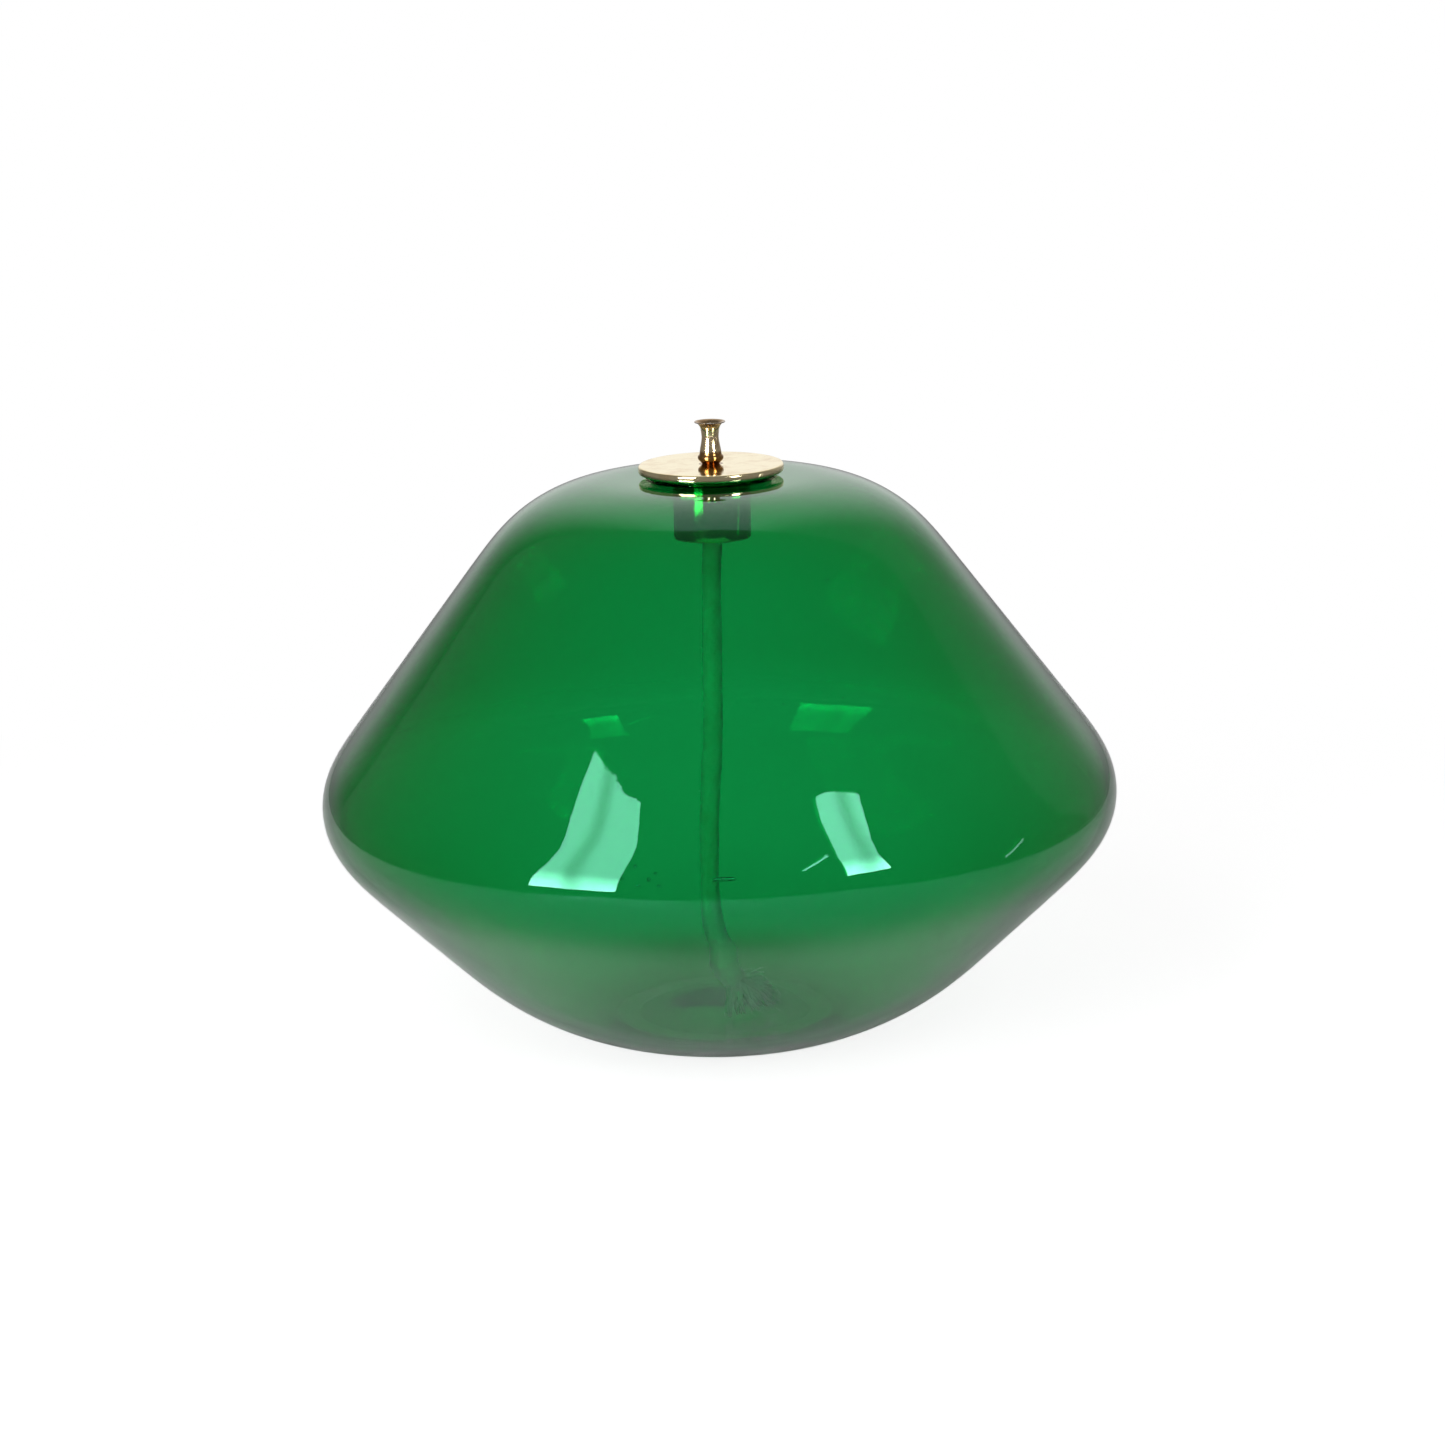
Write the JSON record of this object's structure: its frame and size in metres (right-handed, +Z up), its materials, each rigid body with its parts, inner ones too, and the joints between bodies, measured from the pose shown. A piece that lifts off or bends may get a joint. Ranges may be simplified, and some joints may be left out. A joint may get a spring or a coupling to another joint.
{
  "type": "oil lamp",
  "caption": "Table oil lamp: wide diamond-shaped green glass vessel with a brass cover plate, turned wick tube and a round cotton wick hanging inside.",
  "frame": {"origin": "centre of the ground foot ring, on the surface the lamp stands on", "axes": "+Z up along the vessel's axis of revolution; the front, where the frayed wick end points, is -Y"},
  "size_m": [0.2, 0.2, 0.1547],
  "materials": {
    "green_glass": "clear, coloured through, fire-polished",
    "polished_brass": "polished",
    "plain_brass": "turned, unpolished",
    "cotton": "braided cotton, frayed at the lower end"
  },
  "bodies": {
    "vessel": {"glass_vessel": "green_glass"},
    "burner": {"cover_plate": "polished_brass", "guide_collar": "polished_brass", "wick_tube": "polished_brass", "washer": "plain_brass", "lock_nut": "plain_brass"},
    "wick": {"wick": "cotton"}
  },
  "joints": [
    {"name": "burner_lift", "type": "slide", "parent": "vessel", "child": "burner", "axis": [0, 0, 1], "range_m": [0, 0.11]},
    {"name": "wick_feed", "type": "slide", "parent": "burner", "child": "wick", "axis": [0, 0, 1], "range_m": [0, 0.005]}
  ]
}
